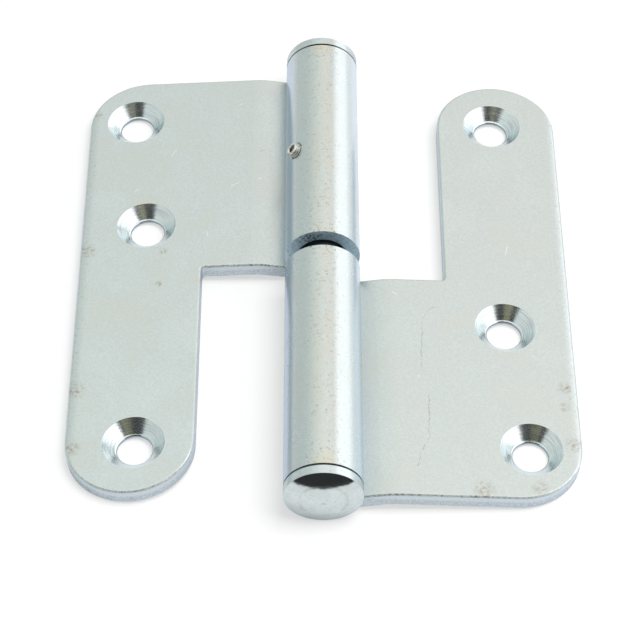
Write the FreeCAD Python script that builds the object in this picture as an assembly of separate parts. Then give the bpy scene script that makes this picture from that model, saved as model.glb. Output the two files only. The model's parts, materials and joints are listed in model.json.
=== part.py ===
import FreeCAD, Part
import math
import os

# Lift-off door hinge of zinc-plated sheet steel, lying open with its countersinks up.
# X runs across the leaves, Y along the pin towards the half that lifts off, Z up.
# The origin is under the middle of the barrel, on the surface that the hinge lies on.

# Leaf sheet
sheet = 3.0
leaf_reach = 49.4
leg_width = 24.8
leg_length = 55.2
corner_radius = 12.4
notch_radius = 0.8
edge_roll = 0.5

# Knuckles rolled from the leaves
bore_diameter = 9.0
knuckle_length = 53.2
knuckle_gap = 3.6
face_below_axis = 1.8
joggle_angle = 12.5
joggle_radius = 15.0
seam_gap = 0.25
bore_chamfer = 0.5

# Countersunk screw holes, each placed from the edges it lies nearest to
hole_diameter = 6.9
countersink_diameter = 12.1
countersink_angle = 90.0
end_hole_inset = 9.7
end_hole_from_end = 11.5
leg_holes_inset = 13.2
middle_hole_from_end = 41.3
tip_hole_from_tip = 11.6

# Pin, pressed into the lower knuckle and running in the upper one
running_clearance = 0.05
pin_dome_rise = 1.5
pin_chamfer = 0.6
bearing_gap = 0.05

# Plugs that close the outer ends of the barrel
flange_thickness = 2.2
flange_dome_rise = 1.6
flange_back_chamfer = 0.4
flange_seat_gap = 0.05
shank_length = 8.0
shank_clearance = 0.02
shank_chamfer = 0.5

# Lock screw that keeps the upper half from being lifted off
screw_diameter = 3.0
screw_length = 4.0
screw_end_chamfer = 0.25
screw_protrusion = 1.0
screw_from_end = 28.7
screw_elevation = 45.0
screw_clearance = 0.05
screw_mouth_diameter = 4.2
key_width = 1.5
key_depth = 1.5
groove_clearance = 0.3

# Room by which cutting tools run past the metal
overrun = 1.0

X_AXIS = FreeCAD.Vector(1, 0, 0)
Y_AXIS = FreeCAD.Vector(0, 1, 0)
Z_AXIS = FreeCAD.Vector(0, 0, 1)
AXIS_POINT = FreeCAD.Vector(0, 0, 0)

bore_radius = bore_diameter / 2
barrel_radius = bore_radius + sheet
knuckle_inner_y = knuckle_gap / 2
knuckle_outer_y = knuckle_inner_y + knuckle_length
leg_tip_y = knuckle_inner_y - leg_length
face_z = -face_below_axis
back_z = face_z - sheet
shank_end_y = knuckle_outer_y - shank_length
screw_y = knuckle_outer_y - screw_from_end
screw_hole_radius = screw_diameter / 2 + screw_clearance

# The roll starts where the joggle's slope touches it, and ends where its lip would meet the leaf
roll_start = -90 - joggle_angle
roll_end = 270 - joggle_angle - math.degrees(math.acos((bore_radius - seam_gap) / barrel_radius))

# Each leaf droops about the pin until its outer edge lies on the surface under the barrel
edge_distance = math.hypot(leaf_reach, back_z)
droop = math.degrees(math.asin(barrel_radius / edge_distance) - math.atan2(-back_z, leaf_reach))


def in_section(x, z):
    """Point of the leaf's cross-section, measured from the pin's axis."""
    return FreeCAD.Vector(x, 0, z)


def on_circle(radius, degrees, centre=AXIS_POINT):
    """Point of a circle in the cross-section, counted from +X towards +Z."""
    turn = math.radians(degrees)
    return centre + in_section(radius * math.cos(turn), radius * math.sin(turn))


def arc(radius, start, end, centre=AXIS_POINT):
    """Arc of a circle in the cross-section between two directions."""
    middle = (start + end) / 2
    points = [on_circle(radius, degrees, centre) for degrees in (start, middle, end)]
    return Part.Arc(*points).toShape()


def line(start, end):
    """Straight edge between two points."""
    return Part.LineSegment(start, end).toShape()


def plate_section():
    """Closed outline of the sheet up to the roll: flat leaf, and joggle down to the barrel."""
    slope = math.radians(joggle_angle)
    slope_run = (barrel_radius * math.cos(slope) + back_z) / math.tan(slope)
    corner_x = -barrel_radius * math.sin(slope) - slope_run
    bend_x = corner_x - joggle_radius * math.tan(slope / 2)
    bend_centre = in_section(bend_x, back_z - joggle_radius)
    bend_end = 90 - joggle_angle

    back_edge = in_section(-leaf_reach, back_z)
    face_edge = in_section(-leaf_reach, face_z)
    roll_outside = on_circle(barrel_radius, roll_start)
    roll_inside = on_circle(bore_radius, roll_start)
    edges = [
        line(back_edge, on_circle(joggle_radius, 90, bend_centre)),
        arc(joggle_radius, 90, bend_end, bend_centre),
        line(on_circle(joggle_radius, bend_end, bend_centre), roll_outside),
        line(roll_outside, roll_inside),
        line(roll_inside, on_circle(joggle_radius + sheet, bend_end, bend_centre)),
        arc(joggle_radius + sheet, bend_end, 90, bend_centre),
        line(on_circle(joggle_radius + sheet, 90, bend_centre), face_edge),
        line(face_edge, back_edge),
    ]
    return Part.Face(Part.Wire(edges))


def roll_section():
    """Closed outline of the sheet where it is rolled into the knuckle."""
    edges = [
        arc(barrel_radius, roll_start, roll_end),
        line(on_circle(barrel_radius, roll_end), on_circle(bore_radius, roll_end)),
        arc(bore_radius, roll_end, roll_start),
        line(on_circle(bore_radius, roll_start), on_circle(barrel_radius, roll_start)),
    ]
    return Part.Face(Part.Wire(edges))


def plan_arc(centre_x, centre_y, radius, start, end):
    """Arc of the leaf's plan outline, in degrees from +X towards +Y."""
    points = []
    for degrees in (start, (start + end) / 2, end):
        turn = math.radians(degrees)
        x = centre_x + radius * math.cos(turn)
        y = centre_y + radius * math.sin(turn)
        points.append(FreeCAD.Vector(x, y, 0))
    return Part.Arc(*points).toShape()


def leaf_plan():
    """Plan outline of a leaf: wide part beside its knuckle, and a round-ended leg past the other one."""
    far_x = barrel_radius + overrun
    leg_radius = leg_width / 2
    leg_inner_x = leg_width - leaf_reach
    arcs = [
        plan_arc(corner_radius - leaf_reach, knuckle_outer_y - corner_radius, corner_radius, 90, 180),
        plan_arc(leg_radius - leaf_reach, leg_tip_y + leg_radius, leg_radius, 180, 360),
        plan_arc(leg_inner_x + notch_radius, knuckle_inner_y - notch_radius, notch_radius, 180, 90),
    ]
    inner_corner = FreeCAD.Vector(far_x, knuckle_inner_y, 0)
    outer_corner = FreeCAD.Vector(far_x, knuckle_outer_y, 0)
    ends = [inner_corner, outer_corner]
    edges = [line(inner_corner, outer_corner)]
    for bend in arcs:
        edges.append(line(ends[-1], bend.valueAt(bend.FirstParameter)))
        edges.append(bend)
        ends.append(bend.valueAt(bend.LastParameter))
    edges.append(line(ends[-1], inner_corner))
    return Part.Face(Part.Wire(edges))


def countersunk_hole(x, y):
    """Cutting tool for one screw hole: a through hole and a cone that opens at the face."""
    hole_radius = hole_diameter / 2
    spread = math.tan(math.radians(countersink_angle / 2))
    depth = (countersink_diameter - hole_diameter) / 2 / spread
    through = Part.makeCylinder(hole_radius, sheet + 2 * overrun, FreeCAD.Vector(x, y, back_z - overrun))
    mouth_radius = countersink_diameter / 2 + overrun * spread
    cone = Part.makeCone(hole_radius, mouth_radius, depth + overrun, FreeCAD.Vector(x, y, face_z - depth))
    return through.fuse(cone)


def bore_mouth(y, inward):
    """Cutting tool for the chamfer at one end of the knuckle's bore."""
    start = Y_AXIS * y - inward * overrun
    mouth_radius = bore_radius + bore_chamfer + overrun
    return Part.makeCone(mouth_radius, bore_radius, bore_chamfer + overrun, start, inward)


def screw_direction():
    """Way that the lock screw points out of the upper knuckle."""
    lean = math.radians(screw_elevation)
    return in_section(-math.cos(lean), math.sin(lean))


def lock_screw_hole():
    """Cutting tool for the tapped hole of the lock screw, from the bore out to its chamfered mouth."""
    outward = screw_direction()
    start = outward * (bore_radius / 2) + Y_AXIS * screw_y
    tapped = Part.makeCylinder(screw_hole_radius, barrel_radius, start, outward)
    mouth_radius = screw_mouth_diameter / 2
    mouth_depth = mouth_radius - screw_hole_radius
    mouth_start = outward * (barrel_radius - mouth_depth) + Y_AXIS * screw_y
    mouth = Part.makeCone(screw_hole_radius, mouth_radius + overrun, mouth_depth + overrun, mouth_start, outward)
    return tapped.fuse(mouth)


def top_edge_of_side(plate):
    """Straight edge where the leaf's face meets its outer side."""
    for edge in plate.Edges:
        ends = [vertex.Point for vertex in edge.Vertexes]
        if all(abs(p.x + leaf_reach) < 1e-4 and abs(p.z - face_z) < 1e-4 for p in ends):
            return edge
    raise ValueError("the leaf has no outer edge on its face")


def lay_down(shape):
    """Turn a piece of the upper half about the pin to where it lies, and lift the axis to its height."""
    laid = shape.copy()
    laid.rotate(AXIS_POINT, Y_AXIS, -droop)
    laid.translate(Z_AXIS * barrel_radius)
    return laid


def make_leaf(cutters):
    """One leaf with its knuckle, as the upper half has it, with its screw holes and further cuts."""
    strip = plate_section().extrude(Y_AXIS * (knuckle_outer_y - leg_tip_y))
    strip.translate(Y_AXIS * leg_tip_y)
    plan = leaf_plan().extrude(Z_AXIS * 2 * (barrel_radius + overrun))
    plan.translate(Z_AXIS * -(barrel_radius + overrun))
    plate = strip.common(plan)
    plate = plate.makeFillet(edge_roll, [top_edge_of_side(plate)])
    roll = roll_section().extrude(Y_AXIS * knuckle_length)
    roll.translate(Y_AXIS * knuckle_inner_y)
    leaf = plate.fuse(roll).removeSplitter()
    leaf = leaf.cut([bore_mouth(knuckle_inner_y, Y_AXIS), bore_mouth(knuckle_outer_y, -Y_AXIS)])
    holes = [
        (end_hole_inset - leaf_reach, knuckle_outer_y - end_hole_from_end),
        (leg_holes_inset - leaf_reach, knuckle_outer_y - middle_hole_from_end),
        (leg_holes_inset - leaf_reach, leg_tip_y + tip_hole_from_tip),
    ]
    for x, y in holes:
        leaf = leaf.cut(countersunk_hole(x, y))
    for cutter in cutters:
        leaf = leaf.cut(cutter)
    return lay_down(leaf)


def turned(outline):
    """Solid turned about the pin's axis from (radius, y) corners that start and end on the axis."""
    corners = [FreeCAD.Vector(radius, y, 0) for radius, y in outline]
    solid = Part.Face(Part.makePolygon(corners + corners[:1])).revolve(AXIS_POINT, Y_AXIS, 360)
    solid.translate(Z_AXIS * barrel_radius)
    return solid


def dome(edge_radius, rise, base_y):
    """Cap of a ball that rounds off the end of a turned piece."""
    base = FreeCAD.Vector(0, base_y, barrel_radius)
    ball_radius = (edge_radius ** 2 + rise ** 2) / (2 * rise)
    ball = Part.makeSphere(ball_radius, base + Y_AXIS * (rise - ball_radius), X_AXIS)
    return ball.common(Part.makeCylinder(edge_radius + overrun, rise + overrun, base, Y_AXIS))


def make_plug():
    """Plug of the upper knuckle: a shank in the bore and a domed flange as wide as the barrel."""
    shank_radius = bore_radius - shank_clearance
    back_y = knuckle_outer_y + flange_seat_gap
    front_y = back_y + flange_thickness
    body = turned([
        (0, shank_end_y),
        (shank_radius - shank_chamfer, shank_end_y),
        (shank_radius, shank_end_y + shank_chamfer),
        (shank_radius, back_y),
        (barrel_radius - flange_back_chamfer, back_y),
        (barrel_radius, back_y + flange_back_chamfer),
        (barrel_radius, front_y),
        (0, front_y),
    ])
    return body.fuse(dome(barrel_radius, flange_dome_rise, front_y))


def make_pin():
    """Pin with a pressed seat, a running length with the lock screw's groove, and a domed bearing end."""
    run_radius = bore_radius - running_clearance
    bottom_y = -shank_end_y
    shoulder_y = shank_end_y - bearing_gap - pin_dome_rise
    screw_tip_radius = barrel_radius - screw_length
    groove_radius = screw_tip_radius - groove_clearance
    groove_half = screw_diameter / 2 + groove_clearance
    body = turned([
        (0, bottom_y),
        (bore_radius - pin_chamfer, bottom_y),
        (bore_radius, bottom_y + pin_chamfer),
        (bore_radius, -knuckle_inner_y),
        (run_radius, -knuckle_inner_y),
        (run_radius, screw_y - groove_half),
        (groove_radius, screw_y - groove_half),
        (groove_radius, screw_y + groove_half),
        (run_radius, screw_y + groove_half),
        (run_radius, shoulder_y),
        (0, shoulder_y),
    ])
    return body.fuse(dome(run_radius, pin_dome_rise, shoulder_y))


def make_lock_screw():
    """Headless screw with a hexagon socket, backed out of the upper knuckle."""
    radius = screw_diameter / 2
    end_radius = radius - screw_end_chamfer
    middle = screw_length - 2 * screw_end_chamfer
    tip = Part.makeCone(end_radius, radius, screw_end_chamfer)
    body = Part.makeCylinder(radius, middle, Z_AXIS * screw_end_chamfer)
    head = Part.makeCone(radius, end_radius, screw_end_chamfer, Z_AXIS * (screw_end_chamfer + middle))
    key_corner_radius = key_width / math.sqrt(3)
    corners = []
    for side in range(7):
        turn = math.radians(60 * side)
        reach = FreeCAD.Vector(math.cos(turn), math.sin(turn), 0) * key_corner_radius
        corners.append(reach + Z_AXIS * (screw_length - key_depth))
    socket = Part.Face(Part.makePolygon(corners)).extrude(Z_AXIS * (key_depth + overrun))
    screw = tip.fuse([body, head]).cut(socket).removeSplitter()
    screw.rotate(AXIS_POINT, Y_AXIS, screw_elevation - 90)
    outer_end = barrel_radius + screw_protrusion
    screw.translate(screw_direction() * (outer_end - screw_length) + Y_AXIS * screw_y)
    return lay_down(screw)


def other_half(shape):
    """The same piece on the lower half: turned half a turn about the upright axis."""
    turned_over = shape.copy()
    turned_over.rotate(AXIS_POINT, Z_AXIS, 180)
    return turned_over


plug = make_plug()
pieces = {
    "upper_leaf": make_leaf([lock_screw_hole()]),
    "lower_leaf": other_half(make_leaf([])),
    "pin": make_pin(),
    "upper_plug": plug,
    "lower_plug": other_half(plug),
    "lock_screw": make_lock_screw(),
}

os.makedirs("parts", exist_ok=True)
for name, shape in pieces.items():
    shape.exportStep(os.path.join("parts", name + ".step"))
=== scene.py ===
import json
import math

import bmesh
import bpy
from bpy.props import FloatProperty, FloatVectorProperty, PointerProperty
from mathutils import Matrix, Vector


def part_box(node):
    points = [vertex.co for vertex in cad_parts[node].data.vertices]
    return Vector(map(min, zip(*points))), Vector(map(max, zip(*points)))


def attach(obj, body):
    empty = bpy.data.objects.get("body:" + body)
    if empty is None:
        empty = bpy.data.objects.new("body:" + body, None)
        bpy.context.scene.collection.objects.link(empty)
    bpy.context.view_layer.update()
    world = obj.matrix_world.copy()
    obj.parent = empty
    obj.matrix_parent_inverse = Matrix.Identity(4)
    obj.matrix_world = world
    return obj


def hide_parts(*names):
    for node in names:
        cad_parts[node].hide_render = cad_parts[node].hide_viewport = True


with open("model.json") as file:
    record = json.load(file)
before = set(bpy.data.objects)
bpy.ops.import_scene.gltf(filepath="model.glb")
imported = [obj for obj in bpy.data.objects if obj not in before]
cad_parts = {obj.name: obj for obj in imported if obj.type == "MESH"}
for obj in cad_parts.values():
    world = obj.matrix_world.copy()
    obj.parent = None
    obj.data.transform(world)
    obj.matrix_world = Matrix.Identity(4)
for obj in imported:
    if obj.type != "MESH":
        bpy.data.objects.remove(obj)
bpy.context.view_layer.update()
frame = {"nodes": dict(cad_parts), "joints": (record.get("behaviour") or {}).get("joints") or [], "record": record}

bl_info = {
    "name": "Lift-off hinge looks",
    "version": (1, 0, 0),
    "blender": (4, 5, 0),
    "location": "View3D > Sidebar > Hinge",
    "description": "Zinc finishes, threaded lock screw and studio stage for a lift-off door hinge",
    "category": "Object",
}

MM = 0.001
PER_MM = 1000.0


def linear(hex_colour):
    """Linear red, green and blue of an sRGB hex colour."""
    channels = [int(hex_colour[at:at + 2], 16) / 255 for at in (0, 2, 4)]
    return [c / 12.92 if c <= 0.04045 else ((c + 0.055) / 1.055) ** 2.4 for c in channels]


def colour(name, description, hex_colour):
    """Colour that a user may change."""
    return FloatVectorProperty(
        name=name, description=description, subtype="COLOR", size=3, min=0, max=1, default=linear(hex_colour)
    )


def length(name, description, millimetres):
    """Length that a user may change, kept in metres."""
    return FloatProperty(name=name, description=description, unit="LENGTH", min=0, default=millimetres * MM)


def share(name, description, default):
    """Number from 0 to 1 that a user may change."""
    return FloatProperty(name=name, description=description, subtype="FACTOR", min=0, max=1, default=default)


def light(name, description, default):
    """Strength of light that a user may change."""
    return FloatProperty(name=name, description=description, min=0, default=default)


def mount(name):
    """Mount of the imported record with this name."""
    return next(m for m in frame["record"]["mounts"] if m["name"] == name)


def joint(name):
    """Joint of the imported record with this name."""
    return next(j for j in frame["joints"] if j["name"] == name)


# Places on the upper leaf, in millimetres. The lower leaf is the same leaf turned half a turn.
LEAF_NORMAL = Vector(mount("upper_leaf_end_screw")["axis"])
LEAF_BACK = Vector(mount("upper_leaf_back")["pos_m"]) * PER_MM
END_HOLE = Vector(mount("upper_leaf_end_screw")["pos_m"]) * PER_MM
LEG_HOLES = Vector(mount("upper_leaf_screws")["pos_m"]) * PER_MM
LEG_HOLE_STEP = Vector((0, mount("upper_leaf_screws")["dims"]["pcd_mm"] / 2, 0))
HOLES = [END_HOLE, LEG_HOLES + LEG_HOLE_STEP, LEG_HOLES - LEG_HOLE_STEP]
PIN_AXIS = Vector(joint("swing")["pos_m"]) * PER_MM
BARREL_RADIUS = PIN_AXIS.z
LEAF_EDGE_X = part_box("upper_leaf")[0].x * PER_MM
KNUCKLE_END_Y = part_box("upper_leaf")[1].y * PER_MM
KNUCKLE_START_Y = 1.8
UPPER_TURN = (1, 1, 1)
LOWER_TURN = (-1, -1, 1)

# Marks of handling on each leaf, in millimetres from the barrel's middle, as on the upper leaf:
# stains as (x, y, radius), brown scratches and bright marks as runs of (x, y) points; the bright marks are
# nicks on the face and painted highlights along the rounded corners' edges
UPPER_STAINS = [
    (-48.2, 45.9, 2.0),
    (-47.8, 7.2, 2.6),
    (-32.3, 6.5, 1.2),
    (-32.9, -2.3, 1.0),
    (-48.2, -28.7, 3.0),
    (-47.6, -42.8, 2.2),
]
UPPER_SCRATCHES = [[(-13.0, 33.6), (-12.3, 33.9)]]
UPPER_NICKS_AND_GLINTS = [
    [(-31.6, 33.0), (-30.6, 34.8)],
    [(-38.8, 23.2), (-38.0, 23.9)],
    [(-23.6, 11.4), (-23.3, 9.9)],
    [(-17.5, 47.4), (-17.1, 47.6)],
    [(-18.8, 23.7), (-17.3, 24.7)],
    [(-13.2, 25.5), (-12.7, 25.8)],
    # Painted highlights along the rounded inner corner of the leg
    [(-29.9, -51.1), (-28.4, -49.9)],
    [(-27.6, -49.1), (-26.2, -47.1), (-25.2, -44.8)],
]
LOWER_STAINS = [
    (-46.8, 28.6, 2.0),
    (-46.6, 33.2, 1.6),
    (-47.8, 42.2, 2.6),
    (-30.1, 53.3, 3.0),
    (-40.5, 52.5, 2.2),
]
LOWER_SCRATCHES = [
    [(-22.6, 9.1), (-21.4, 9.3), (-19.7, 12.0), (-19.4, 17.1), (-19.1, 24.5)],
    [(-20.3, 31.4), (-20.1, 41.3), (-18.3, 45.4), (-17.8, 48.3)],
]
LOWER_NICKS_AND_GLINTS = [
    [(-18.6, 26.4), (-18.4, 26.8)],
    [(-37.6, -7.8), (-37.1, -5.6)],
    [(-13.8, 5.3), (-14.6, 6.0)],
    # Painted highlights along the rounded corner's edge
    [(-41.5, 53.9), (-44.7, 52.0), (-46.6, 49.9)],
    [(-47.5, 48.6), (-48.3, 46.8)],
]


class HingeFinish(bpy.types.PropertyGroup):
    """Colours and grain of the hinge's metal."""
    sheet_colour: colour("Sheet", "Plated face of the leaves", "CED6D5")
    cloud_colour: colour("Sheet clouds", "Darker clouds in the plated face", "C3CCCA")
    sheared_colour: colour("Sheared edge", "Edges where the sheet was punched out", "CDD6DB")
    machined_colour: colour("Countersink", "Countersinks, plated after cutting", "E2E9E8")
    groove_colour: colour("Cutter marks", "Rings that the cutter left in the countersinks", "A3B1B6")
    # Painted shade: the hole walls are coloured darker for the shade inside the holes
    hole_wall_shade_colour: colour("Hole wall", "Straight wall under a countersink", "8E9FAC")
    fracture_colour: colour("Fracture", "Lower part of a punched edge, where the sheet broke", "A8B4BC")
    plug_colour: colour("Plug", "Plated face of the turned plugs", "CED7D8")
    haze_colour: colour("Haze", "Faint warm film in patches of the plated face", "D5D1C7")
    # Partly a real film, partly a painted warm reflection along the barrel's crest
    crest_film_and_reflection_colour: colour("Crest film", "Beige film along the barrel's crest", "CDCDBF")
    # Painted shade: the barrel's left side is coloured darker and bluer than the plate
    shaded_flank_colour: colour("Left flank", "Bluer plate on the barrel's left side", "C0CCDF")
    # Painted highlight: the barrel's right side is coloured paler than the plate
    lit_flank_colour: colour("Right flank", "Paler plate on the barrel's right side", "E4ECF5")
    stain_colour: colour("Stain", "Brown handling stains and specks", "9A8C72")
    burr_colour: colour("Burr", "Torn metal and oil in joints and along the punched edges", "4C4B46")
    bare_colour: colour("Knuckle end", "Sawn ends of the knuckles", "DEF1FA")
    # Real nicks, and also painted highlights along the rounded corners' edges
    nick_and_glint_colour: colour("Tick", "Fresh bright nicks in the plate", "F6F8F7")
    # Painted shade: the pin is coloured dark for the shade in the gap between the knuckles
    pin_shade_colour: colour("Pin", "Oiled steel of the pin", "5C6670")
    screw_colour: colour("Lock screw", "Plated steel of the lock screw", "D8D9D2")
    sheet_glance_colour: colour("Sheet, grazing", "Leaves at a grazing angle", "ECF2F6")
    turned_glance_colour: colour("Turned steel, grazing", "Plugs and pin at a grazing angle", "E8ECEE")
    screw_glance_colour: colour("Lock screw, grazing", "Lock screw at a grazing angle", "EFEDE6")
    sheet_roughness: share("Sheet roughness", "Satin of the rolled sheet under the plate", 0.34)
    plug_roughness: share("Plug roughness", "Polish of the turned plugs", 0.09)
    grain_width: length("Grain width", "Grain of the rolled sheet", 0.45)
    turning_pitch: length("Turning pitch", "Distance between turning marks, coarse enough to show", 0.4)
    cutter_pitch: length("Cutter pitch", "Step of the countersinks' rings, coarse enough to show", 0.16)
    rim_radius: length("Rim radius", "Rim of a countersink", 6.05)
    hole_radius: length("Hole radius", "Straight wall under a countersink", 3.45)


class LockScrewSizes(bpy.types.PropertyGroup):
    """Sizes of the headless lock screw."""
    diameter: length("Diameter", "Over the thread's crests", 3.0)
    length: length("Length", "From end to end", 4.0)
    pitch: length("Pitch", "Distance between the thread's crests", 0.5)
    thread_depth: length("Thread depth", "From crest to root", 0.31)
    end_chamfer: length("End chamfer", "Bevel at both ends", 0.25)
    key_width: length("Key width", "Across the flats of the socket", 1.5)
    key_depth: length("Key depth", "Depth of the socket's flats", 1.5)


class StageSettings(bpy.types.PropertyGroup):
    """Floor, light, dark cloths and warm card of the studio."""
    floor_colour: colour("Floor", "White paper under the hinge", "FCFCFC")
    floor_reach: length("Floor reach", "Half the floor's width", 3000.0)
    floor_glow: share("Floor glow", "Share of the floor's white that no shadow takes away", 0.52)
    mirrored_glow: share("Mirrored glow", "Share of the floor's glow that the metal shows", 0.6)
    room_light: share("Room light", "Light from all sides on the floor", 0.42)
    shade_colour: colour("Shaded side", "Room on the left, as the metal shows it", "E2E8E6")
    lit_colour: colour("Lit side", "Room overhead, as the metal shows it", "FFFBF8")
    horizon_light: light("Horizon light", "Room's light low down", 1.0)
    ceiling_light: light("Ceiling light", "Room's light overhead", 1.46)
    window_colour: colour("Window", "Daylight from the right", "FBF6FF")
    window_light: light("Window light", "Radiance of the window over the room", 0.87)
    lamp_light: light("Lamp light", "Radiance of the floor's lamp", 6.5)
    cloth_colour: colour("Dark cloth", "Dark cloths in front, as the metal shows them", "38383A")
    cloth_start: length("Cloth start", "From the barrel's middle to the cloth on the floor", 79.0)
    card_colour: colour("Warm card", "Small card in front, as the countersinks show it", "CFCBA8")
    card_light: light("Card light", "Radiance of the warm card", 0.5)


def add_node(tree, kind, sockets, out=0, **settings):
    """Add a shader node with its settings, give each socket a value or a link, and return one output."""
    made = tree.nodes.new("ShaderNode" + kind)
    for name, value in settings.items():
        setattr(made, name, value)
    for socket, value in sockets.items():
        if isinstance(value, bpy.types.NodeSocket):
            tree.links.new(value, made.inputs[socket])
        else:
            made.inputs[socket].default_value = value
    return made.outputs[out] if made.outputs else None


def opaque(rgb):
    """Colour with full alpha, as a colour socket takes it."""
    return (*rgb, 1.0)


def new_material(name):
    """Empty material and its node tree."""
    material = bpy.data.materials.new(name)
    material.use_nodes = True
    material.node_tree.nodes.clear()
    return material, material.node_tree


def metal(tree, base, roughness, height, edge_tint):
    """Metal shader from a colour, a roughness and a height in millimetres."""
    normal = add_node(tree, "Bump", {"Height": height, "Distance": MM, "Strength": 1.0})
    shader = add_node(tree, "BsdfPrincipled", {
        "Base Color": base,
        "Metallic": 1.0,
        "Roughness": roughness,
        "Specular Tint": opaque(edge_tint),
        "Normal": normal,
    })
    add_node(tree, "OutputMaterial", {"Surface": shader})


def distance_to_holes(tree, place):
    """Distance from the axis of the nearest screw hole."""
    nearest = None
    for centre in HOLES:
        offset = add_node(tree, "VectorMath", {0: place, 1: centre}, operation="SUBTRACT")
        along = add_node(tree, "VectorMath", {0: offset, 1: LEAF_NORMAL}, operation="PROJECT")
        distance = add_node(tree, "VectorMath", {0: offset, 1: along}, "Value", operation="DISTANCE")
        if nearest is None:
            nearest = distance
        else:
            nearest = add_node(tree, "Math", {0: nearest, 1: distance}, operation="MINIMUM")
    return nearest


def distance_to_lines(tree, spot, lines):
    """Distance in plan from the nearest of some runs of (x, y) points."""
    nearest = None
    for line in lines:
        for start, end in zip(line, line[1:]):
            start = Vector((*start, 0))
            run = Vector((*end, 0)) - start
            offset = add_node(tree, "VectorMath", {0: spot, 1: start}, operation="SUBTRACT")
            per_run = run / run.length_squared
            part = add_node(tree, "VectorMath", {0: offset, 1: per_run}, "Value", operation="DOT_PRODUCT")
            part = add_node(tree, "Math", {0: part, 1: 1.0}, operation="MULTIPLY", use_clamp=True)
            foot = add_node(tree, "VectorMath", {0: run, "Scale": part}, operation="SCALE")
            distance = add_node(tree, "VectorMath", {0: offset, 1: foot}, "Value", operation="DISTANCE")
            if nearest is None:
                nearest = distance
            else:
                nearest = add_node(tree, "Math", {0: nearest, 1: distance}, operation="MINIMUM")
    return nearest


def stain_zone(tree, spot, stains):
    """Mask that is 1 at the middle of each stain and fades out at its radius."""
    zone = None
    for x, y, radius in stains:
        distance = add_node(tree, "VectorMath", {0: spot, 1: (x, y, 0)}, "Value", operation="DISTANCE")
        mask = add_node(tree, "MapRange", {
            0: distance, 1: radius, 2: 0.2 * radius,
        }, interpolation_type="SMOOTHSTEP")
        zone = mask if zone is None else add_node(tree, "Math", {0: zone, 1: mask}, operation="MAXIMUM")
    return zone


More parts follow.
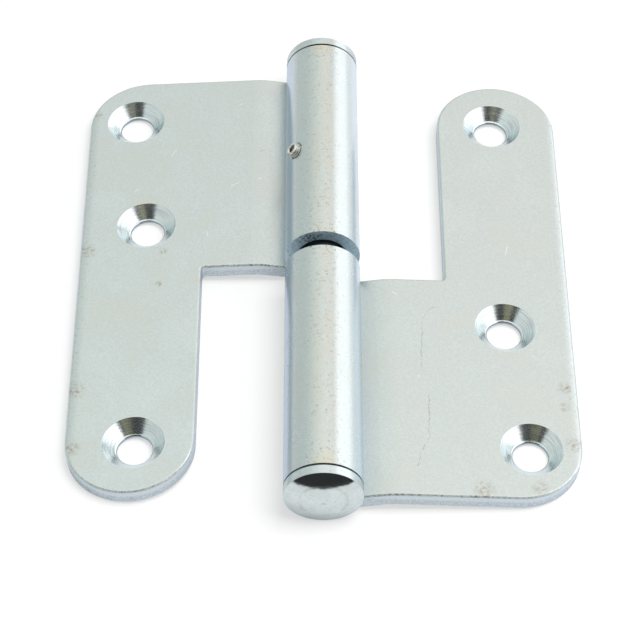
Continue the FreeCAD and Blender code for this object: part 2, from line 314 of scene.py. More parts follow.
def zinc_sheet(name, finish, half_turn, stains, scratches, nicks_and_glints):
    """Bright zinc plate on cold-rolled steel sheet, punched, rolled and countersunk before plating.
    It gives a pale satin grey with a cool green cast, painted shade that makes the barrel's left side bluer and
    darker, a painted highlight that makes its right side paler, beige on the barrel's crest that is partly a film
    and partly a painted warm reflection, brown handling specks along edges and crest, bright nicks and painted
    highlights along some corner edges, bluish torn edges, shiny countersinks with rings from the cutter, and hole
    walls darkened as painted shade."""
    material, tree = new_material(name)
    metres = add_node(tree, "TexCoord", {}, "Object")
    place = add_node(tree, "VectorMath", {0: metres, 1: Vector(half_turn) * PER_MM}, operation="MULTIPLY")
    surface = add_node(tree, "TexCoord", {}, "Normal")
    normal = add_node(tree, "VectorMath", {0: surface, 1: half_turn}, operation="MULTIPLY")
    spot = add_node(tree, "VectorMath", {0: place, 1: (1, 1, 0)}, operation="MULTIPLY")
    x = add_node(tree, "SeparateXYZ", {0: place}, "X")
    y = add_node(tree, "SeparateXYZ", {0: place}, "Y")
    normal_y = add_node(tree, "SeparateXYZ", {0: normal}, "Y")
    normal_z = add_node(tree, "SeparateXYZ", {0: normal}, "Z")

    # Zones that were made in different ways
    rim = finish.rim_radius * PER_MM
    hole_distance = distance_to_holes(tree, place)
    in_rim = add_node(tree, "MapRange", {0: hole_distance, 1: rim + 0.08, 2: rim - 0.02})
    from_back = add_node(tree, "VectorMath", {0: place, 1: LEAF_BACK}, operation="SUBTRACT")
    height = add_node(tree, "VectorMath", {0: from_back, 1: LEAF_NORMAL}, "Value", operation="DOT_PRODUCT")
    off_back = add_node(tree, "MapRange", {0: height, 1: 0.05, 2: 0.15})
    on_face = add_node(tree, "MapRange", {0: height, 1: 1.4, 2: 1.9})
    countersunk = add_node(tree, "Math", {0: in_rim, 1: off_back}, operation="MULTIPLY")
    hole = finish.hole_radius * PER_MM
    # Zone of the hole walls, which get painted shade below
    hole_wall_shade = add_node(tree, "MapRange", {0: hole_distance, 1: hole + 0.1, 2: hole + 0.02})
    lip = add_node(tree, "MapRange", {0: hole_distance, 1: hole + 0.32, 2: hole + 0.12})
    from_pin = add_node(tree, "VectorMath", {0: place, 1: PIN_AXIS}, operation="SUBTRACT")
    from_pin = add_node(tree, "VectorMath", {0: from_pin, 1: (1, 0, 1)}, operation="MULTIPLY")
    pin_distance = add_node(tree, "VectorMath", {0: from_pin}, "Value", operation="LENGTH")
    barrel = add_node(tree, "MapRange", {0: pin_distance, 1: BARREL_RADIUS + 0.3, 2: BARREL_RADIUS + 0.1})
    facing = add_node(tree, "VectorMath", {0: normal, 1: LEAF_NORMAL}, "Value", operation="DOT_PRODUCT")
    facing = add_node(tree, "Math", {0: facing}, operation="ABSOLUTE")
    off_barrel = add_node(tree, "MapRange", {
        0: pin_distance, 1: BARREL_RADIUS + 0.1, 2: BARREL_RADIUS + 0.3,
    })
    plain = add_node(tree, "MapRange", {0: countersunk, 3: 1.0, 4: 0.0})
    plate = add_node(tree, "Math", {0: off_barrel, 1: plain}, operation="MULTIPLY")
    steep = add_node(tree, "MapRange", {0: facing, 1: 0.75, 2: 0.4}, interpolation_type="SMOOTHSTEP")
    sheared = add_node(tree, "Math", {0: steep, 1: plate}, operation="MULTIPLY")
    end_facing = add_node(tree, "Math", {0: normal_y}, operation="ABSOLUTE")
    end_wall = add_node(tree, "MapRange", {0: end_facing, 1: 0.7, 2: 0.9})
    knuckle_end = add_node(tree, "Math", {0: end_wall, 1: barrel}, operation="MULTIPLY")
    roll = add_node(tree, "MapRange", {0: facing, 1: 0.15, 2: 0.5})
    flat = add_node(tree, "MapRange", {0: facing, 1: 0.995, 2: 0.9})
    along_end = add_node(tree, "MapRange", {0: end_facing, 1: 0.25, 2: 0.4})
    rolled = add_node(tree, "Math", {0: roll, 1: flat}, operation="MULTIPLY")
    rolled = add_node(tree, "Math", {0: rolled, 1: along_end}, operation="MULTIPLY")
    rolled = add_node(tree, "Math", {0: rolled, 1: plate}, operation="MULTIPLY")

    # Sheet: grain and soft clouds
    grain = add_node(tree, "TexNoise", {
        "Vector": place, "Scale": 1 / (finish.grain_width * PER_MM), "Detail": 3.0, "Roughness": 0.6,
    })
    clouds = add_node(tree, "TexNoise", {"Vector": place, "Scale": 1 / 9, "Detail": 3.0, "Roughness": 0.55})
    cloud = add_node(tree, "MapRange", {0: clouds, 1: 0.3, 2: 0.7, 3: 0.0, 4: 0.4})
    speckle = add_node(tree, "MapRange", {0: grain, 1: 0.36, 2: 0.64, 4: 0.9})
    cloud = add_node(tree, "Math", {0: cloud, 1: speckle}, operation="ADD")
    base = add_node(tree, "Mix", {
        0: cloud, 6: opaque(finish.sheet_colour), 7: opaque(finish.cloud_colour),
    }, 2, data_type="RGBA")

    # Warm haze in patches, and painted light and shade on the barrel's sides: a darker, bluer painted shade on the
    # left and a paler painted highlight on the right
    haze = add_node(tree, "MapRange", {0: clouds, 1: 0.48, 2: 0.68, 4: 0.22})
    base = add_node(tree, "Mix", {0: haze, 6: base, 7: opaque(finish.haze_colour)}, 2, data_type="RGBA")
    flank = add_node(tree, "MapRange", {
        0: normal_z, 1: 0.75, 2: 0.4, 4: 0.7,
    }, interpolation_type="SMOOTHSTEP")
    upper_side = add_node(tree, "MapRange", {0: normal_z, 1: -0.5, 2: 0.0})
    flank = add_node(tree, "Math", {0: flank, 1: upper_side}, operation="MULTIPLY")
    flank = add_node(tree, "Math", {0: flank, 1: barrel}, operation="MULTIPLY")
    toward_lit_side = add_node(tree, "SeparateXYZ", {0: surface}, "X")
    toward_lit_side = add_node(tree, "MapRange", {0: toward_lit_side, 1: -0.3, 2: 0.3})
    flank_light_and_shade = add_node(tree, "Mix", {
        0: toward_lit_side, 6: opaque(finish.shaded_flank_colour), 7: opaque(finish.lit_flank_colour),
    }, 2, data_type="RGBA")
    base = add_node(tree, "Mix", {0: flank, 6: base, 7: flank_light_and_shade}, 2, data_type="RGBA")

    # Beige on the crest, partly a film in patches and near the barrel's ends and partly a painted warm reflection
    # of the room overhead; and brown specks: thick at the marked stains, thin along the outer edge, the crest and
    # the barrel's ends
    at_edge = add_node(tree, "MapRange", {0: x, 1: LEAF_EDGE_X + 5, 2: LEAF_EDGE_X, 4: 0.45})
    crest = add_node(tree, "MapRange", {0: normal_z, 1: 0.75, 2: 1.0}, interpolation_type="SMOOTHSTEP")
    at_end = add_node(tree, "MapRange", {0: y, 1: KNUCKLE_END_Y - 4, 2: KNUCKLE_END_Y - 1, 4: 0.9})
    at_gap = add_node(tree, "MapRange", {0: y, 1: KNUCKLE_START_Y + 3, 2: KNUCKLE_START_Y + 0.5, 4: 0.9})
    on_barrel = add_node(tree, "Math", {0: at_gap, 1: at_end}, operation="MAXIMUM")
    on_barrel = add_node(tree, "Math", {0: on_barrel, 1: crest}, operation="MULTIPLY")
    on_barrel = add_node(tree, "Math", {0: crest, 1: 0.7, 2: on_barrel}, operation="MULTIPLY_ADD")
    on_barrel = add_node(tree, "Math", {0: on_barrel, 1: 0.12}, operation="MAXIMUM")
    on_barrel = add_node(tree, "Math", {0: on_barrel, 1: barrel}, operation="MULTIPLY")
    # Beige on the very top of the barrel: partly a real film, partly a painted warm reflection
    film = add_node(tree, "VectorMath", {0: place, 1: (0.9, 0.1, 0.9)}, operation="MULTIPLY")
    film = add_node(tree, "TexNoise", {"Vector": film, "Scale": 1.0, "Detail": 4.0, "Roughness": 0.6})
    film = add_node(tree, "MapRange", {0: film, 1: 0.4, 2: 0.62, 4: 0.5})
    film = add_node(tree, "Math", {0: film, 1: at_end}, operation="MAXIMUM")
    on_top = add_node(tree, "MapRange", {0: normal_z, 1: 0.93, 2: 0.99}, interpolation_type="SMOOTHSTEP")
    on_top = add_node(tree, "Math", {0: on_top, 1: barrel}, operation="MULTIPLY")
    film = add_node(tree, "Math", {0: film, 1: on_top}, operation="MULTIPLY")
    base = add_node(tree, "Mix", {0: film, 6: base, 7: opaque(finish.crest_film_and_reflection_colour)}, 2, data_type="RGBA")
    stained = add_node(tree, "Math", {0: stain_zone(tree, spot, stains), 1: on_face}, operation="MULTIPLY")
    zone = add_node(tree, "Math", {0: stained, 1: at_edge}, operation="MAXIMUM")
    zone = add_node(tree, "Math", {0: zone, 1: on_barrel}, operation="MAXIMUM")
    zone = add_node(tree, "Math", {0: zone, 1: rolled}, operation="MAXIMUM")
    zone = add_node(tree, "Math", {0: zone, 1: 0.06}, operation="MAXIMUM")
    grime = add_node(tree, "TexNoise", {"Vector": place, "Scale": 1 / 0.8, "Detail": 5.0, "Roughness": 0.8})
    specks = add_node(tree, "MapRange", {0: grime, 1: 0.56, 2: 0.68})
    specks = add_node(tree, "Math", {0: specks, 1: zone}, operation="MULTIPLY")
    smear = add_node(tree, "MapRange", {0: grime, 1: 0.44, 2: 0.6, 4: 0.6})
    smear = add_node(tree, "Math", {0: smear, 1: stained}, operation="MULTIPLY")
    dirt = add_node(tree, "Math", {0: specks, 1: smear}, operation="MAXIMUM")
    base = add_node(tree, "Mix", {0: dirt, 6: base, 7: opaque(finish.stain_colour)}, 2, data_type="RGBA")

    # Scratches and nicks, a little ragged; the bright marks are nicks on the face and painted highlights along
    # the rounded corners' edges
    wander = add_node(tree, "TexNoise", {"Vector": place, "Scale": 1 / 1.5, "Detail": 2.0}, "Color")
    wander = add_node(tree, "VectorMath", {0: wander, 1: (0.5, 0.5, 0.5)}, operation="SUBTRACT")
    ragged = add_node(tree, "VectorMath", {0: wander, 1: (0.9, 0.9, 0), 2: spot}, operation="MULTIPLY_ADD")
    scratch = distance_to_lines(tree, ragged, scratches)
    scratch = add_node(tree, "MapRange", {0: scratch, 1: 0.13, 2: 0.04, 4: 0.6})
    scratch = add_node(tree, "Math", {0: scratch, 1: cloud}, operation="MULTIPLY", use_clamp=True)
    scratch = add_node(tree, "Math", {0: scratch, 1: on_face}, operation="MULTIPLY")
    base = add_node(tree, "Mix", {0: scratch, 6: base, 7: opaque(finish.stain_colour)}, 2, data_type="RGBA")
    nick_and_glint = distance_to_lines(tree, spot, nicks_and_glints)
    nick_and_glint = add_node(tree, "MapRange", {0: nick_and_glint, 1: 0.12, 2: 0.05, 4: 0.5})
    nick_and_glint = add_node(tree, "Math", {0: nick_and_glint, 1: on_face}, operation="MULTIPLY")
    base = add_node(tree, "Mix", {0: nick_and_glint, 6: base, 7: opaque(finish.nick_and_glint_colour)}, 2, data_type="RGBA")

    # Sheared edges: streaks across the sheet, sawn knuckle ends, and torn metal along the ends' upper edge
    streaks = add_node(tree, "VectorMath", {0: place, 1: (2.2, 2.2, 0.4)}, operation="MULTIPLY")
    streaks = add_node(tree, "TexNoise", {"Vector": streaks, "Scale": 1.0, "Detail": 4.0, "Roughness": 0.65})
    broken = add_node(tree, "Math", {0: streaks, 1: -1.2, 2: height}, operation="MULTIPLY_ADD")
    broken = add_node(tree, "MapRange", {0: broken, 1: 1.2, 2: 0.7})
    crumbs = add_node(tree, "TexNoise", {
        "Vector": place, "Scale": 1 / 0.35, "Detail": 4.0, "Roughness": 0.75,
    })
    crumbs = add_node(tree, "MapRange", {0: crumbs, 1: 0.4, 2: 0.62})
    broken = add_node(tree, "Math", {0: broken, 1: crumbs}, operation="MULTIPLY")
    wall = add_node(tree, "Mix", {
        0: broken, 6: opaque(finish.sheared_colour), 7: opaque(finish.fracture_colour),
    }, 2, data_type="RGBA")
    base = add_node(tree, "Mix", {0: sheared, 6: base, 7: wall}, 2, data_type="RGBA")
    sawn = add_node(tree, "TexNoise", {"Vector": place, "Scale": 1 / 0.5, "Detail": 5.0, "Roughness": 0.75})
    pits = add_node(tree, "MapRange", {0: sawn, 1: 0.46, 2: 0.62, 4: 0.8})
    # The knuckle ends get more dark pits near the middle, at x = -2.4 mm, and fewer towards their sides
    darker_near_middle = add_node(tree, "Math", {0: x, 1: 2.4}, operation="ADD")
    darker_near_middle = add_node(tree, "Math", {0: darker_near_middle}, operation="ABSOLUTE")
    darker_near_middle = add_node(tree, "MapRange", {0: darker_near_middle, 1: 3.0, 2: 1.2, 3: 0.35, 4: 1.1})
    pits = add_node(tree, "Math", {0: pits, 1: darker_near_middle}, operation="MULTIPLY")
    face = add_node(tree, "Mix", {
        0: pits, 6: opaque(finish.bare_colour), 7: opaque(finish.burr_colour),
    }, 2, data_type="RGBA")
    base = add_node(tree, "Mix", {0: knuckle_end, 6: base, 7: face}, 2, data_type="RGBA")
    past_middle = add_node(tree, "MapRange", {0: y, 1: 0.0, 2: 1.0})
    off_corner = add_node(tree, "MapRange", {0: x, 1: LEAF_EDGE_X + 7, 2: LEAF_EDGE_X + 19, 3: -0.2, 4: 0.4})
    thick = add_node(tree, "Math", {0: off_corner, 1: past_middle, 2: 0.5}, operation="MULTIPLY_ADD")
    burr = add_node(tree, "Math", {0: rolled, 1: thick}, operation="MULTIPLY")
    torn = add_node(tree, "TexNoise", {"Vector": place, "Scale": 1 / 0.5, "Detail": 3.0, "Roughness": 0.7})
    torn = add_node(tree, "MapRange", {0: torn, 1: 0.53, 2: 0.6, 4: 0.65})
    burr = add_node(tree, "Math", {0: burr, 1: torn}, operation="MULTIPLY")
    base = add_node(tree, "Mix", {0: burr, 6: base, 7: opaque(finish.burr_colour)}, 2, data_type="RGBA")

    # Countersinks: rings left by the cutter, and the straight wall under them, darkened all round as painted shade
    across = add_node(tree, "Math", {0: hole_distance, 1: finish.cutter_pitch * PER_MM}, operation="DIVIDE")
    along = add_node(tree, "VectorMath", {0: place, 1: (0.25, 0.25, 0.25)}, operation="MULTIPLY")
    rings = add_node(tree, "TexNoise", {
        "Vector": along, "W": across, "Scale": 1.0, "Detail": 2.0, "Roughness": 0.6,
    }, noise_dimensions="4D")
    groove = add_node(tree, "MapRange", {0: rings, 1: 0.4, 2: 0.7, 4: 0.55})
    machined = add_node(tree, "Mix", {
        0: groove, 6: opaque(finish.machined_colour), 7: opaque(finish.groove_colour),
    }, 2, data_type="RGBA")
    base = add_node(tree, "Mix", {0: countersunk, 6: base, 7: machined}, 2, data_type="RGBA")
    base = add_node(tree, "Mix", {0: hole_wall_shade, 6: base, 7: opaque(finish.hole_wall_shade_colour)}, 2, data_type="RGBA")

    # Roughness of each zone
    rough = add_node(tree, "MapRange", {
        0: clouds, 3: finish.sheet_roughness - 0.06, 4: finish.sheet_roughness + 0.06,
    })
    rough = add_node(tree, "Math", {0: dirt, 1: 0.3, 2: rough}, operation="MULTIPLY_ADD")
    rough = add_node(tree, "Math", {0: sheared, 1: 0.16, 2: rough}, operation="MULTIPLY_ADD")
    rough = add_node(tree, "Math", {0: rolled, 1: 0.3, 2: rough}, operation="MULTIPLY_ADD")
    rough = add_node(tree, "Math", {0: knuckle_end, 1: 0.3, 2: rough}, operation="MULTIPLY_ADD")
    rough = add_node(tree, "Math", {0: countersunk, 1: -0.12, 2: rough}, operation="MULTIPLY_ADD")
    rough = add_node(tree, "Math", {0: barrel, 1: -0.06, 2: rough}, operation="MULTIPLY_ADD")

    # Relief in millimetres
    relief = add_node(tree, "Math", {0: grain, 1: 0.01}, operation="MULTIPLY")
    torn_relief = add_node(tree, "Math", {0: sheared, 1: knuckle_end}, operation="MAXIMUM")
    torn_relief = add_node(tree, "Math", {0: torn_relief, 1: burr}, operation="MAXIMUM")
    torn_relief = add_node(tree, "Math", {0: torn_relief, 1: streaks}, operation="MULTIPLY")
    relief = add_node(tree, "Math", {0: torn_relief, 1: 0.08, 2: relief}, operation="MULTIPLY_ADD")
    cut_relief = add_node(tree, "Math", {0: rings, 1: countersunk}, operation="MULTIPLY")
    relief = add_node(tree, "Math", {0: cut_relief, 1: 0.012, 2: relief}, operation="MULTIPLY_ADD")
    relief = add_node(tree, "Math", {0: lip, 1: 0.05, 2: relief}, operation="MULTIPLY_ADD")
    relief = add_node(tree, "Math", {0: scratch, 1: -0.02, 2: relief}, operation="MULTIPLY_ADD")
    drawn = add_node(tree, "MapRange", {0: x, 1: LEAF_EDGE_X + 2.1, 2: LEAF_EDGE_X})
    drawn = add_node(tree, "Math", {0: drawn, 1: 2.0}, operation="POWER")
    relief = add_node(tree, "Math", {0: drawn, 1: -0.33, 2: relief}, operation="MULTIPLY_ADD")
    metal(tree, base, rough, relief, finish.sheet_glance_colour)
    return material


def turned_zinc(finish):
    """Bright zinc plate on a lathe-turned plug. It mirrors the room a little unevenly, with fine grey
    specks, faint rings from the tool and a brownish ring on the dome."""
    material, tree = new_material("turned_zinc")
    metres = add_node(tree, "TexCoord", {}, "Object")
    place = add_node(tree, "VectorMath", {0: metres, 1: (PER_MM, PER_MM, PER_MM)}, operation="MULTIPLY")
    from_pin = add_node(tree, "VectorMath", {0: place, 1: PIN_AXIS}, operation="SUBTRACT")
    from_pin = add_node(tree, "VectorMath", {0: from_pin, 1: (1, 0, 1)}, operation="MULTIPLY")
    radius = add_node(tree, "VectorMath", {0: from_pin}, "Value", operation="LENGTH")

    clouds = add_node(tree, "TexNoise", {"Vector": place, "Scale": 1 / 2.5, "Detail": 4.0, "Roughness": 0.6})
    grain = add_node(tree, "TexNoise", {"Vector": place, "Scale": 1 / 0.5, "Detail": 3.0, "Roughness": 0.6})
    cloud = add_node(tree, "MapRange", {0: clouds, 1: 0.35, 2: 0.75})
    base = add_node(tree, "Mix", {
        0: cloud, 6: opaque(finish.plug_colour), 7: opaque(finish.cloud_colour),
    }, 2, data_type="RGBA")
    from_ring = add_node(tree, "Math", {0: radius, 1: 0.6 * BARREL_RADIUS}, operation="SUBTRACT")
    from_ring = add_node(tree, "Math", {0: from_ring}, operation="ABSOLUTE")
    ring = add_node(tree, "MapRange", {
        0: from_ring, 1: 0.5, 2: 0.1, 4: 0.35,
    }, interpolation_type="SMOOTHSTEP")
    ring = add_node(tree, "Math", {0: ring, 1: cloud}, operation="MULTIPLY")
    centre = add_node(tree, "MapRange", {0: radius, 1: 0.5, 2: 0.2, 4: 0.8})
    centre = add_node(tree, "Math", {0: centre, 1: grain}, operation="MULTIPLY")
    along = add_node(tree, "SeparateXYZ", {0: place}, "Y")
    along = add_node(tree, "Math", {0: along}, operation="ABSOLUTE")
    joint_line = add_node(tree, "MapRange", {0: along, 1: KNUCKLE_END_Y + 0.5, 2: KNUCKLE_END_Y + 0.35})
    specks = add_node(tree, "MapRange", {0: grain, 1: 0.5, 2: 0.7, 4: 0.4})
    base = add_node(tree, "Mix", {0: specks, 6: base, 7: opaque(finish.groove_colour)}, 2, data_type="RGBA")
    marks = add_node(tree, "Math", {0: ring, 1: centre}, operation="MAXIMUM")
    base = add_node(tree, "Mix", {0: marks, 6: base, 7: opaque(finish.stain_colour)}, 2, data_type="RGBA")
    base = add_node(tree, "Mix", {
        0: joint_line, 6: base, 7: opaque(finish.burr_colour),
    }, 2, data_type="RGBA")

    rough = add_node(tree, "MapRange", {
        0: clouds, 3: finish.plug_roughness - 0.04, 4: finish.plug_roughness + 0.06,
    })
    rough = add_node(tree, "Math", {0: marks, 1: 0.25, 2: rough}, operation="MULTIPLY_ADD")
    side = add_node(tree, "MapRange", {0: radius, 1: BARREL_RADIUS - 0.1, 2: BARREL_RADIUS - 0.05, 4: 0.2})
    rough = add_node(tree, "Math", {0: rough, 1: side}, operation="ADD")
    rings = add_node(tree, "Math", {0: radius, 1: finish.turning_pitch * PER_MM}, operation="DIVIDE")
    rings = add_node(tree, "TexNoise", {"W": rings, "Scale": 1.0, "Detail": 2.0}, noise_dimensions="1D")
    relief = add_node(tree, "Math", {0: rings, 1: 0.003}, operation="MULTIPLY")
    relief = add_node(tree, "Math", {0: grain, 1: 0.004, 2: relief}, operation="MULTIPLY_ADD")
    relief = add_node(tree, "Math", {0: clouds, 1: 0.025, 2: relief}, operation="MULTIPLY_ADD")
    metal(tree, base, rough, relief, finish.turned_glance_colour)
    return material


def shaded_oiled_steel(finish):
    """Ground bar steel left bare and oiled. It is coloured dark as painted shade for the pin in the knuckles'
    gap, with streaks of oil.
    """
    material, tree = new_material("shaded_oiled_steel")
    metres = add_node(tree, "TexCoord", {}, "Object")
    place = add_node(tree, "VectorMath", {0: metres, 1: (PER_MM, PER_MM, PER_MM)}, operation="MULTIPLY")
    streaks = add_node(tree, "VectorMath", {0: place, 1: (0.4, 3.0, 0.4)}, operation="MULTIPLY")
    streaks = add_node(tree, "TexNoise", {"Vector": streaks, "Scale": 1.0, "Detail": 4.0, "Roughness": 0.6})
    base = add_node(tree, "Mix", {
        0: streaks, 6: opaque(finish.pin_shade_colour), 7: opaque(finish.burr_colour),
    }, 2, data_type="RGBA")
    rough = add_node(tree, "MapRange", {0: streaks, 3: 0.2, 4: 0.45})
    relief = add_node(tree, "Math", {0: streaks, 1: 0.01}, operation="MULTIPLY")
    metal(tree, base, rough, relief, finish.turned_glance_colour)
    return material


def plated_screw_steel(finish):
    """Rolled-thread screw in thin zinc plate. It gives bright plate with dark oil in patches."""
    material, tree = new_material("plated_screw_steel")
    metres = add_node(tree, "TexCoord", {}, "Object")
    place = add_node(tree, "VectorMath", {0: metres, 1: (PER_MM, PER_MM, PER_MM)}, operation="MULTIPLY")
    oil = add_node(tree, "TexNoise", {"Vector": place, "Scale": 1 / 0.8, "Detail": 4.0, "Roughness": 0.65})
    amount = add_node(tree, "MapRange", {0: oil, 1: 0.45, 2: 0.75, 4: 0.8})
    base = add_node(tree, "Mix", {
        0: amount, 6: opaque(finish.screw_colour), 7: opaque(finish.burr_colour),
    }, 2, data_type="RGBA")
    rough = add_node(tree, "MapRange", {0: oil, 3: 0.15, 4: 0.4})
    relief = add_node(tree, "Math", {0: oil, 1: 0.01}, operation="MULTIPLY")
    metal(tree, base, rough, relief, finish.screw_glance_colour)
    return material


def set_material(node, material):
    """Give a node of the frame its finish."""
    node.material_slots[0].material = material


def thread_radius(sizes, along, turn):
    """Radius of the lock screw at a distance from its middle and a share of a turn."""
    wave = abs(2 * ((along / sizes.pitch - turn) % 1.0) - 1)
    flank = min(max((wave - 0.15) / 0.7, 0.0), 1.0)
    to_end = sizes.length / 2 - abs(along)
    end_limit = sizes.diameter / 2 - sizes.end_chamfer + to_end
    return min(sizes.diameter / 2 - sizes.thread_depth * flank, end_limit)


def socket_radius(sizes, turn):
    """Distance from the socket's middle to its six flats at a share of a turn."""
    from_flat = math.radians(60 * ((6 * turn) % 1.0) - 30)
    return sizes.key_width / 2 / math.cos(from_flat)


def screw_mesh(sizes, steps_round=60, steps_along=72):
    """Headless screw along +Z about its middle, with its hexagon socket in the upper end."""
    turns = [step / steps_round for step in range(steps_round)]
    half = sizes.length / 2
    profile = []
    for step in range(steps_along + 1):
        along = sizes.length * step / steps_along - half
        profile.append([(thread_radius(sizes, along, turn), along) for turn in turns])
    mouth = 0.12 * sizes.key_width
    profile.append([(socket_radius(sizes, turn) + mouth, half) for turn in turns])
    profile.append([(socket_radius(sizes, turn), half - mouth) for turn in turns])
    profile.append([(socket_radius(sizes, turn), half - sizes.key_depth) for turn in turns])

    mesh = bmesh.new()
    rows = []
    for ring in profile:
        row = []
        for (radius, along), turn in zip(ring, turns):
            angle = 2 * math.pi * turn
            row.append(mesh.verts.new((radius * math.cos(angle), radius * math.sin(angle), along)))
        rows.append(row)
    for lower, upper in zip(rows, rows[1:]):
        for at in range(steps_round):
            after = (at + 1) % steps_round
            mesh.faces.new((lower[at], lower[after], upper[after], upper[at]))
    drill_point = mesh.verts.new((0, 0, half - sizes.key_depth - 0.3 * sizes.key_width))
    tip = mesh.verts.new((0, 0, -half))
    for at in range(steps_round):
        after = (at + 1) % steps_round
        mesh.faces.new((rows[-1][at], rows[-1][after], drill_point))
        mesh.faces.new((rows[0][after], rows[0][at], tip))
    made = bpy.data.meshes.new("threaded_lock_screw")
    mesh.to_mesh(made)
    mesh.free()
    made.shade_smooth()
    made.set_sharp_from_angle(angle=math.radians(35))
    return made


def add_object(name, data):
    """New object in the scene."""
    made = bpy.data.objects.new(name, data)
    bpy.context.scene.collection.objects.link(made)
    return made


def sheet_object(name, outline, depth, material):
    """Flat or folded sheet of the stage: an outline of points, carried along a vector."""
    points = [Vector(point) for point in outline]
    far = [point + Vector(depth) for point in points]
    count = len(points)
    faces = [(at, at + 1, count + at + 1, count + at) for at in range(count - 1)]
    mesh = bpy.data.meshes.new(name)
    mesh.from_pydata(points + far, [], faces)
    mesh.materials.append(material)
    made = add_object(name, mesh)
    return made


def reflection_only(sheet):
    """Let a sheet show in reflections alone."""
    sheet.visible_camera = False
    sheet.visible_diffuse = False
    sheet.visible_shadow = False
    sheet.visible_transmission = False
    sheet.visible_volume_scatter = False


def glowing(name, rgb, strength):
    """Plain even glow, for a sheet that shows in reflections."""
    material, tree = new_material(name)
    shader = add_node(tree, "Emission", {"Color": opaque(rgb), "Strength": strength})
    add_node(tree, "OutputMaterial", {"Surface": shader})
    return material


class HINGE_OT_plate_leaves(bpy.types.Operator):
    """Give both leaves their zinc plate"""
    bl_idname = "hinge.plate_leaves"
    bl_label = "Plate leaves"

    def execute(self, context):
        finish = context.scene.hinge_finish
        upper_marks = (UPPER_STAINS, UPPER_SCRATCHES, UPPER_NICKS_AND_GLINTS)
        lower_marks = (LOWER_STAINS, LOWER_SCRATCHES, LOWER_NICKS_AND_GLINTS)
        upper = zinc_sheet("zinc_sheet_upper", finish, UPPER_TURN, *upper_marks)
        lower = zinc_sheet("zinc_sheet_lower", finish, LOWER_TURN, *lower_marks)
        set_material(frame["nodes"]["upper_leaf"], upper)
        set_material(frame["nodes"]["lower_leaf"], lower)
        return {"FINISHED"}


class HINGE_OT_plate_plugs(bpy.types.Operator):
    """Give both plugs their bright zinc plate"""
    bl_idname = "hinge.plate_plugs"
    bl_label = "Plate plugs"

    def execute(self, context):
        material = turned_zinc(context.scene.hinge_finish)
        for name in ("upper_plug", "lower_plug"):
            set_material(frame["nodes"][name], material)
        return {"FINISHED"}


class HINGE_OT_oil_pin(bpy.types.Operator):
    """Give the pin its oiled steel, darkened as painted shade"""
    bl_idname = "hinge.oil_pin"
    bl_label = "Oil pin"

    def execute(self, context):
        set_material(frame["nodes"]["pin"], shaded_oiled_steel(context.scene.hinge_finish))
        return {"FINISHED"}


class HINGE_OT_thread_lock_screw(bpy.types.Operator):
    """Make the lock screw with its thread and socket, in the place of the plain one"""
    bl_idname = "hinge.thread_lock_screw"
    bl_label = "Thread lock screw"

    def execute(self, context):
        screw = add_object("threaded_lock_screw", screw_mesh(context.scene.hinge_lock_screw))
        screw.data.materials.append(plated_screw_steel(context.scene.hinge_finish))
        low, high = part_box("lock_screw")
        outward = -Vector(joint("lock_screw_in")["axis"])
        turn = outward.to_track_quat("Z", "Y").to_matrix().to_4x4()
        screw.matrix_world = Matrix.Translation((low + high) / 2) @ turn
        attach(screw, "lock")
        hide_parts("lock_screw")
        return {"FINISHED"}


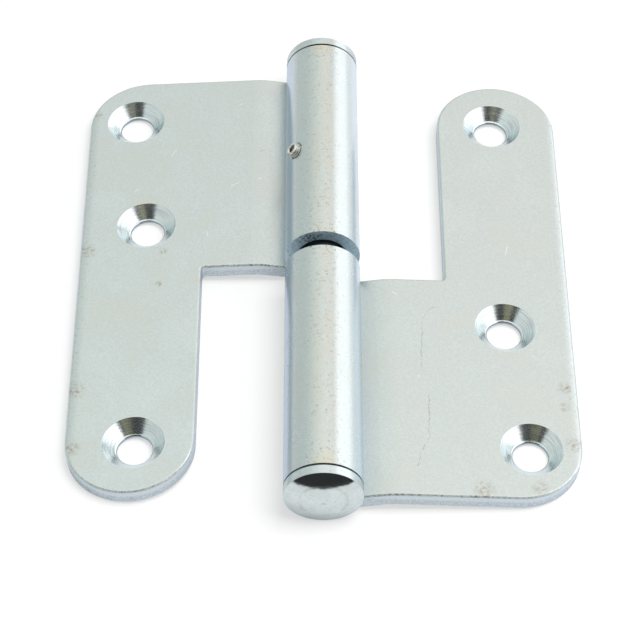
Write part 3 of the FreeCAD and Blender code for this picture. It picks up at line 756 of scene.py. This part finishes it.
class HINGE_OT_set_stage(bpy.types.Operator):
    """Lay the floor, light the hinge and aim the camera"""
    bl_idname = "hinge.set_stage"
    bl_label = "Set stage"

    def execute(self, context):
        stage = context.scene.hinge_stage
        self.lay_floor(stage)
        self.set_light(context.scene, stage)
        self.aim_camera(context.scene)
        context.scene.view_settings.view_transform = "Standard"
        return {"FINISHED"}

    def lay_floor(self, stage):
        """White paper, just under the hinge, that keeps a faint shadow and is clear from below."""
        material, tree = new_material("white_paper")
        shader = add_node(tree, "BsdfDiffuse", {"Color": opaque(stage.floor_colour)})
        white = add_node(tree, "Emission", {"Color": (1, 1, 1, 1), "Strength": 1.0})
        seen = add_node(tree, "LightPath", {}, "Is Camera Ray")
        through = add_node(tree, "LightPath", {}, "Is Transmission Ray")
        seen = add_node(tree, "Math", {0: seen, 1: through}, operation="MAXIMUM")
        mirrored = add_node(tree, "LightPath", {}, "Is Glossy Ray")
        mirrored = add_node(tree, "Math", {0: mirrored, 1: stage.mirrored_glow}, operation="MULTIPLY")
        seen = add_node(tree, "Math", {0: seen, 1: mirrored}, operation="MAXIMUM")
        glow = add_node(tree, "Math", {0: seen, 1: stage.floor_glow}, operation="MULTIPLY")
        shader = add_node(tree, "MixShader", {0: glow, 1: shader, 2: white})
        below_it = add_node(tree, "NewGeometry", {}, "Backfacing")
        clear = add_node(tree, "BsdfTransparent", {})
        shader = add_node(tree, "MixShader", {0: below_it, 1: shader, 2: clear})
        add_node(tree, "OutputMaterial", {"Surface": shader})
        reach = stage.floor_reach
        below = -0.05 * MM
        front = [(-reach, -reach, below), (reach, -reach, below)]
        sheet_object("floor", front, (0, 2 * reach, 0), material)

    def set_light(self, scene, stage):
        """White room that the metal sees brighten overhead and to the right, with a window, a lamp for the
        floor, and dark cloths and a warm card in front that only reflections show."""
        scene.world = bpy.data.worlds.new("white_room")
        scene.world.use_nodes = True
        tree = scene.world.node_tree
        tree.nodes.clear()
        direction = add_node(tree, "TexCoord", {}, "Generated")
        rightward = add_node(tree, "SeparateXYZ", {0: direction}, "X")
        upward = add_node(tree, "SeparateXYZ", {0: direction}, "Z")
        off_lit = add_node(tree, "Math", {0: rightward, 1: 0.25}, operation="SUBTRACT")
        off_lit = add_node(tree, "Math", {0: off_lit}, operation="ABSOLUTE")
        side = add_node(tree, "MapRange", {0: off_lit, 1: 0.75, 2: 0.0})
        tint = add_node(tree, "Mix", {
            0: side, 6: opaque(stage.shade_colour), 7: opaque(stage.lit_colour),
        }, 2, data_type="RGBA")
        lift = add_node(tree, "MapRange", {
            0: upward, 1: 0.5, 2: 0.95, 3: stage.horizon_light, 4: stage.ceiling_light,
        })
        mirrored = add_node(tree, "Background", {"Color": tint, "Strength": lift})
        white = add_node(tree, "Background", {"Color": (1, 1, 1, 1), "Strength": 1.0})
        room = add_node(tree, "Background", {"Color": (1, 1, 1, 1), "Strength": stage.room_light})
        shown_to = {"Is Glossy Ray": mirrored, "Is Transmission Ray": white, "Is Camera Ray": white}
        for ray, shown in shown_to.items():
            seen = add_node(tree, "LightPath", {}, ray)
            room = add_node(tree, "MixShader", {0: seen, 1: room, 2: shown})
        add_node(tree, "OutputWorld", {"Surface": room})

        window_place = (0.6, 0.25, 0.385)
        across_from_window = (0, 0.25, 0.385)
        window_size = (1.5, 0.75)
        lamp = self.hang_lamp("window", window_place, across_from_window, window_size, stage.window_light)
        lamp.data.color = stage.window_colour
        lamp = self.hang_lamp("floor_lamp", (0.25, -0.05, 0.8), (0, 0, 0), (0.5, 0.5), stage.lamp_light)
        lamp.visible_glossy = False

        dark = glowing("dark_cloth", stage.cloth_colour, 1.0)
        cloth_left = -0.5
        cloth_width = (1.0, 0, 0)
        over_floor = 0.2 * MM
        on_floor = [(cloth_left, -stage.cloth_start, over_floor), (cloth_left, -0.7, over_floor)]
        hanging = [(cloth_left, -0.5, 0.2), (cloth_left, -0.5, 0.8)]
        reflection_only(sheet_object("dark_floor_cloth", on_floor, cloth_width, dark))
        reflection_only(sheet_object("dark_hanging_cloth", hanging, cloth_width, dark))
        warm = glowing("warm_card", stage.card_colour, stage.card_light)
        card = [(-0.035, -0.18, 0.12), (-0.035, -0.18, 0.26)]
        card_width = (0.1, 0, 0)
        reflection_only(sheet_object("warm_card", card, card_width, warm))

    def hang_lamp(self, name, place, target, size, radiance):
        """Rectangular lamp that faces its target."""
        light = bpy.data.lights.new(name, "AREA")
        light.shape = "RECTANGLE"
        light.size, light.size_y = size
        light.energy = radiance * math.pi * light.size * light.size_y
        lamp = add_object(name, light)
        aim = Vector(place) - Vector(target)
        lamp.matrix_world = Matrix.Translation(place) @ aim.to_track_quat("Z", "Y").to_matrix().to_4x4()
        return lamp

    def aim_camera(self, scene):
        """Long lens from the front at the photograph's angle, for a square picture."""
        lens = bpy.data.cameras.new("camera")
        lens.sensor_width = 36.0
        lens.lens = 131.7
        camera = add_object("camera", lens)
        target = Vector((-0.53, -8.60, 0.0)) * MM
        heading = -0.106
        elevation = 50.169
        roll = -0.049
        distance = 468.37 * MM
        place = Matrix.Rotation(math.radians(heading), 4, "Z")
        place = place @ Matrix.Rotation(math.radians(90 - elevation), 4, "X")
        place = place @ Matrix.Rotation(math.radians(roll), 4, "Z")
        place = place @ Matrix.Translation((0, 0, distance))
        camera.matrix_world = Matrix.Translation(target) @ place
        scene.camera = camera


class HINGE_PT_looks(bpy.types.Panel):
    """Looks of the lift-off hinge"""
    bl_label = "Lift-off hinge"
    bl_idname = "HINGE_PT_looks"
    bl_space_type = "VIEW_3D"
    bl_region_type = "UI"
    bl_category = "Hinge"

    def draw(self, context):
        for made in OPERATORS:
            self.layout.operator(made.bl_idname)
        for group in GROUPS:
            settings = getattr(context.scene, group)
            box = self.layout.box()
            for name in settings.__annotations__:
                box.prop(settings, name)


GROUPS = {
    "hinge_finish": HingeFinish,
    "hinge_lock_screw": LockScrewSizes,
    "hinge_stage": StageSettings,
}
OPERATORS = (
    HINGE_OT_plate_leaves,
    HINGE_OT_plate_plugs,
    HINGE_OT_oil_pin,
    HINGE_OT_thread_lock_screw,
    HINGE_OT_set_stage,
)
CLASSES = (*GROUPS.values(), *OPERATORS, HINGE_PT_looks)


def register():
    for made in CLASSES:
        bpy.utils.register_class(made)
    for name, group in GROUPS.items():
        setattr(bpy.types.Scene, name, PointerProperty(type=group))


def unregister():
    for name in GROUPS:
        delattr(bpy.types.Scene, name)
    for made in reversed(CLASSES):
        bpy.utils.unregister_class(made)


def main():
    """Dress the hinge and set the stage."""
    register()
    bpy.ops.hinge.plate_leaves()
    bpy.ops.hinge.plate_plugs()
    bpy.ops.hinge.oil_pin()
    bpy.ops.hinge.thread_lock_screw()
    bpy.ops.hinge.set_stage()


if __name__ == "__main__":
    main()
